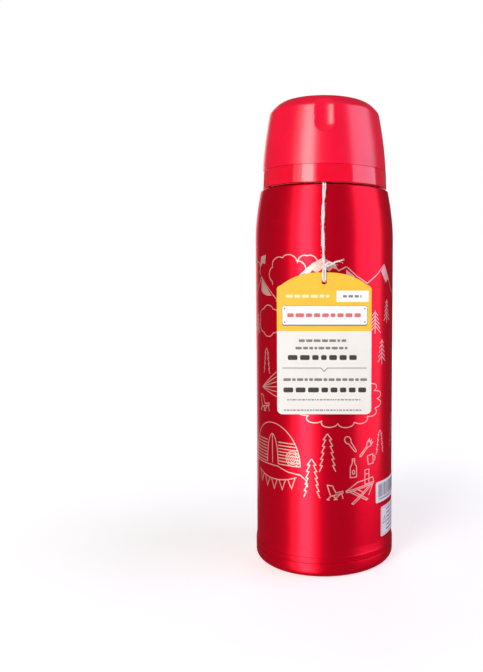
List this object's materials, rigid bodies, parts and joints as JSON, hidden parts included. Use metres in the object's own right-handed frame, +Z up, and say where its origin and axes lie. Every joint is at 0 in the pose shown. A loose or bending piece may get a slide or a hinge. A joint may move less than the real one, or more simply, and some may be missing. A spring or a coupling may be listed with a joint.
{
  "type": "insulated water bottle",
  "caption": "Tall round double-walled steel bottle with a screw-on cup, a push-button pouring stopper underneath and a card tag hanging on a string.",
  "frame": {"origin": "centre of the ring the bottle stands on, on the bottle's axis", "axes": "+Z up along the bottle's axis, -Y towards the front where the tag hangs, +X to the right seen from the front"},
  "size_m": [0.0902, 0.0931, 0.2921],
  "materials": {
    "body_paint": "metallic red lacquer over brushed steel",
    "flask_steel": "electropolished",
    "disc_steel": "turned",
    "solder": "dull",
    "foil": "bright foil",
    "getter": "matte",
    "label_film": "satin film",
    "cotton": "twisted cotton",
    "cup_satin": "satin metallic red",
    "cup_gloss": "glossy metallic red",
    "liner_plastic": "gloss",
    "foam": "foam",
    "stopper_plastic": "fine matte",
    "button_plastic": "fine matte",
    "silicone": "translucent white silicone",
    "spring_steel": "bright",
    "tag_card": "coated card"
  },
  "bodies": {
    "bottle": {"outer_shell": "body_paint", "inner_flask": "flask_steel", "bottom_cap": "body_paint", "base_disc": "disc_steel", "seal_bead": "solder", "radiation_foil": "foil", "getter_pellet": "getter", "getter_clip": "flask_steel", "barcode_label": "label_film", "care_label": "label_film", "string_loop": "cotton"},
    "cup_core": {"cup_insulation": "foam"},
    "cup_bowl": {"cup_liner": "liner_plastic"},
    "cup": {"cup_cover": "cup_satin", "cup_rim": "cup_gloss"},
    "stopper_seal": {"stopper_gasket": "silicone"},
    "stopper": {"stopper_cap": "stopper_plastic", "stopper_plug": "stopper_plastic", "stopper_foam": "foam", "valve_guide": "stopper_plastic", "valve_spring": "spring_steel"},
    "button": {"push_button": "button_plastic", "valve_stem": "spring_steel", "valve_disc": "stopper_plastic", "valve_gasket": "silicone"},
    "tag": {"hang_tag": "tag_card", "tag_string": "cotton"}
  },
  "joints": [
    {"name": "cup_lift", "type": "slide", "parent": "bottle", "child": "cup_core", "axis": [0, 0, 1], "range_m": [0, 0.072]},
    {"name": "cup_rise", "type": "slide", "parent": "cup_core", "child": "cup_bowl", "axis": [0, 0, 1], "range_m": [0, 0.0054]},
    {"name": "cup_turn", "type": "hinge", "parent": "cup_bowl", "child": "cup", "pos_m": [0, 0, 0.245], "axis": [0, 0, 1], "range_deg": [0, 390]},
    {"name": "stopper_rise", "type": "slide", "parent": "bottle", "child": "stopper_seal", "axis": [0, 0, 1], "range_m": [0, 0.004]},
    {"name": "stopper_turn", "type": "hinge", "parent": "stopper_seal", "child": "stopper", "pos_m": [0, 0, 0.245], "axis": [0, 0, 1], "range_deg": [0, 361]},
    {"name": "button_press", "type": "slide", "parent": "stopper", "child": "button", "axis": [0, 0, -1], "range_m": [0, 0.0035], "stiffness_N_per_m": 400, "springref_m": -0.0005, "deforming": ["valve_spring"]},
    {"name": "tag_swing", "type": "hinge", "parent": "bottle", "child": "tag", "pos_m": [0, -0.0426, 0.2366], "axis": [-1, 0, 0], "range_deg": [0, 80]}
  ],
  "couplings": [
    {"joint": "cup_turn", "follows": "cup_rise", "rad_per_m": 1256.6},
    {"joint": "stopper_turn", "follows": "stopper_rise", "rad_per_m": 1570.8}
  ]
}
